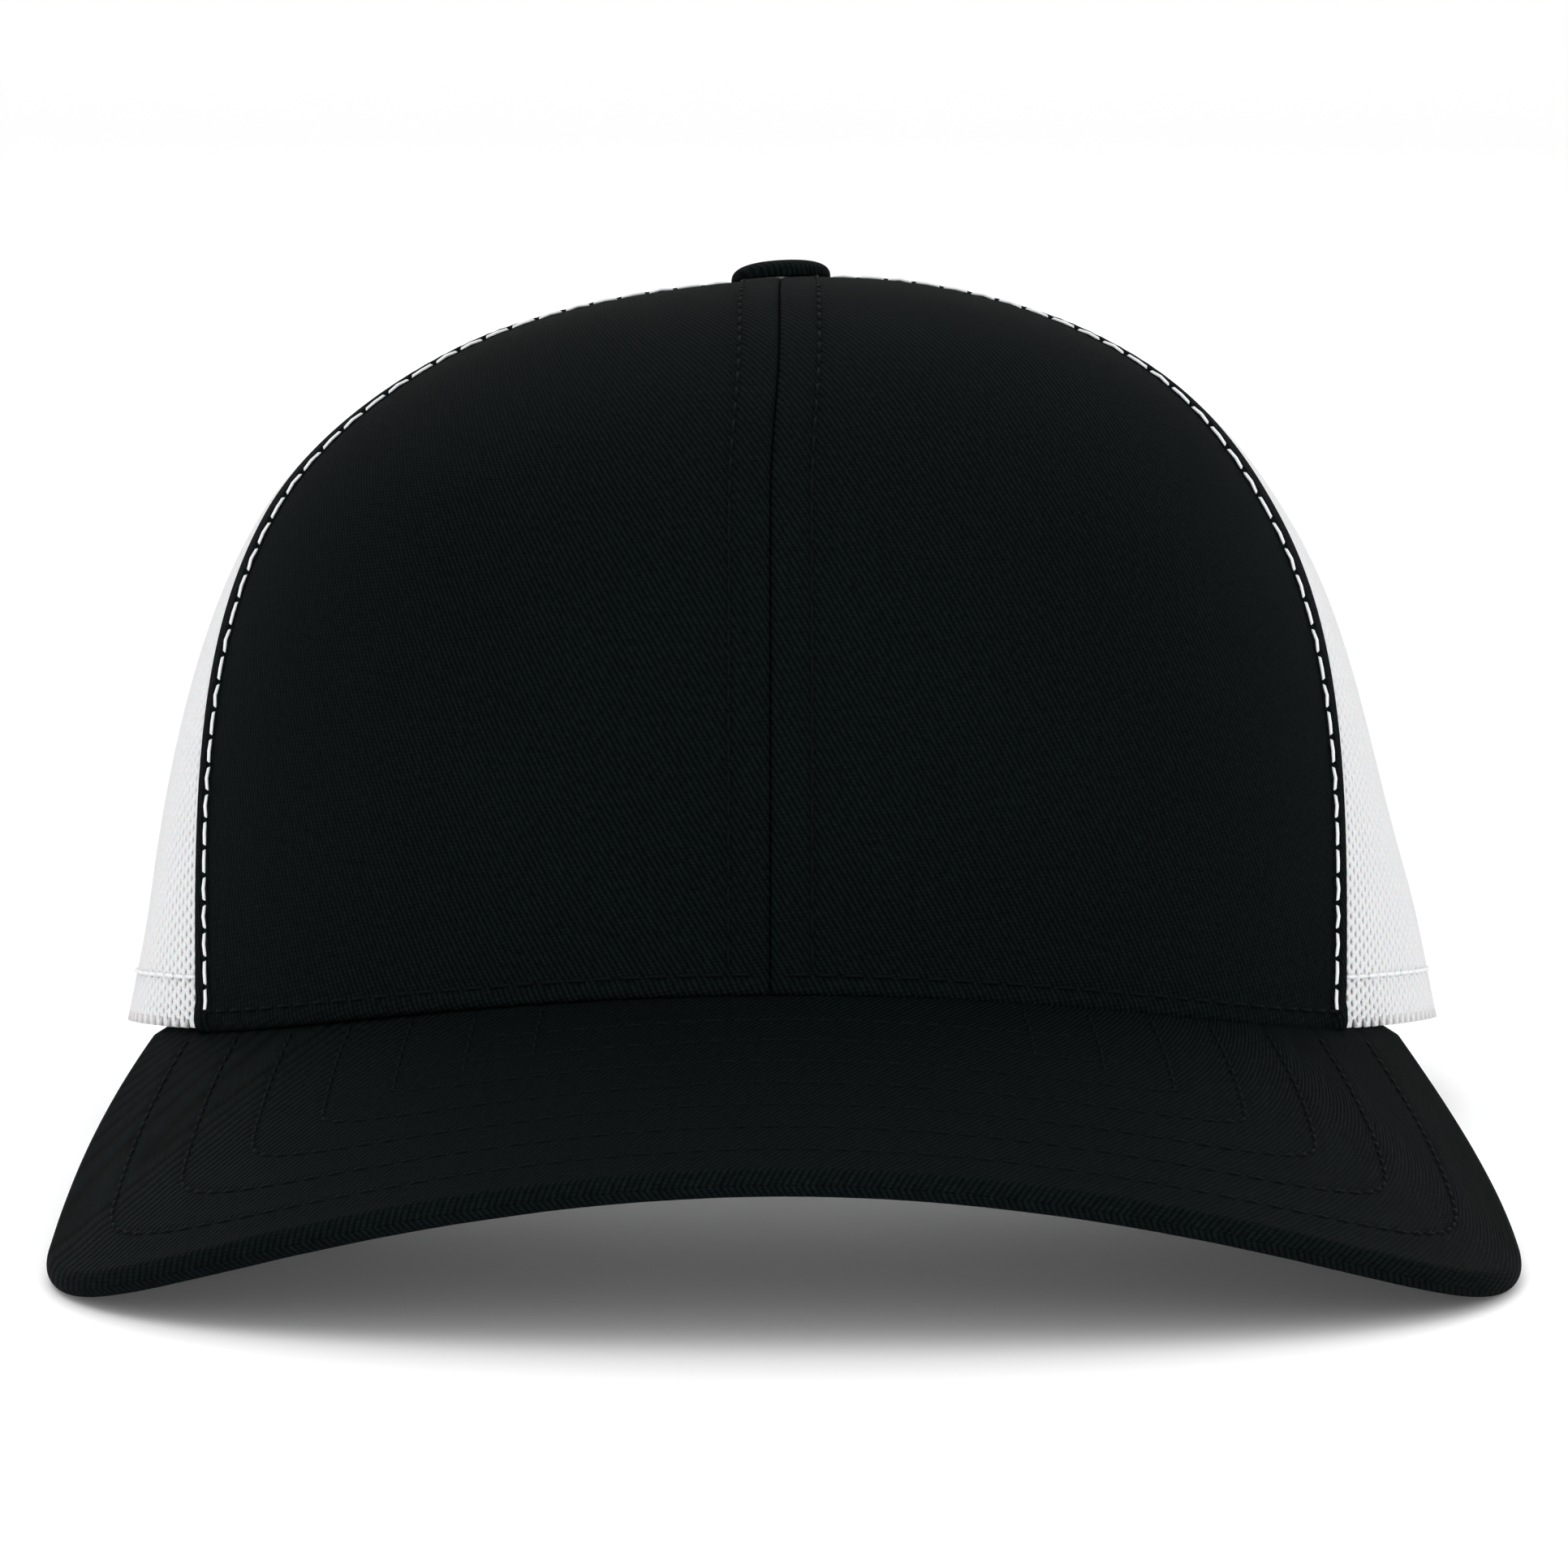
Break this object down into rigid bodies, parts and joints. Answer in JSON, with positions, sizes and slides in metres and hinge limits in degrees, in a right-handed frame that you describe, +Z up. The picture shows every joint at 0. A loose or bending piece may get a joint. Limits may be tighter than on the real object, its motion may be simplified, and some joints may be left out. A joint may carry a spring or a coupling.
{
  "type": "trucker mesh cap",
  "caption": "Structured trucker cap with black twill front panels and curved visor, white mesh sides and rear, covered button, and a rear arch closed by a two-part snap strap.",
  "frame": {"origin": "middle of the bounding box at floor level, with the cap resting on the tips of its visor and the rear of its hem", "axes": "+Z up, -Y towards the visor's front, +X towards the wearer's left"},
  "size_m": [0.1788, 0.2631, 0.1142],
  "materials": {
    "black_twill": "black cotton twill, matte",
    "white_mesh": "open polyester hexagonal mesh",
    "buckram": "stiff open-weave buckram",
    "white_tape": "white woven cotton tape",
    "sweatband_cloth": "white cotton terry sweatband",
    "pad_foam": "soft non-woven pad",
    "white_binding": "white woven binding",
    "visor_board": "moulded polyethylene board",
    "button_steel": "pressed steel",
    "strap_plastic": "white moulded plastic, satin"
  },
  "bodies": {
    "cap": {"front_panel_left": "black_twill", "front_panel_right": "black_twill", "side_mesh_left": "white_mesh", "side_mesh_right": "white_mesh", "rear_mesh_left": "white_mesh", "rear_mesh_right": "white_mesh", "buckram_left": "buckram", "buckram_right": "buckram", "seam_tape_front": "white_tape", "seam_tape_front_left": "white_tape", "seam_tape_front_right": "white_tape", "seam_tape_rear_left": "white_tape", "seam_tape_rear_right": "white_tape", "seam_tape_rear": "white_tape", "sweatband": "sweatband_cloth", "sweatband_pad": "pad_foam", "rear_arch_binding": "white_binding", "visor_top_cover": "black_twill", "visor_board": "visor_board", "visor_under_cover": "black_twill", "button_cover": "black_twill", "button_shell": "button_steel", "button_tack": "button_steel", "hole_strap_tab": "strap_plastic", "peg_strap_tab": "strap_plastic"},
    "hole_strap": {"hole_strap": "strap_plastic"},
    "peg_strap": {"peg_strap": "strap_plastic"}
  },
  "joints": [
    {"name": "hole_strap_hinge", "type": "hinge", "parent": "cap", "child": "hole_strap", "pos_m": [-0.03228, 0.12059, 0.0119], "axis": [0, 0.1386, 0.9903], "range_deg": [0, 75]},
    {"name": "peg_strap_hinge", "type": "hinge", "parent": "cap", "child": "peg_strap", "pos_m": [0.03228, 0.11869, 0.01217], "axis": [0, 0.1386, 0.9903], "range_deg": [0, 75]}
  ]
}
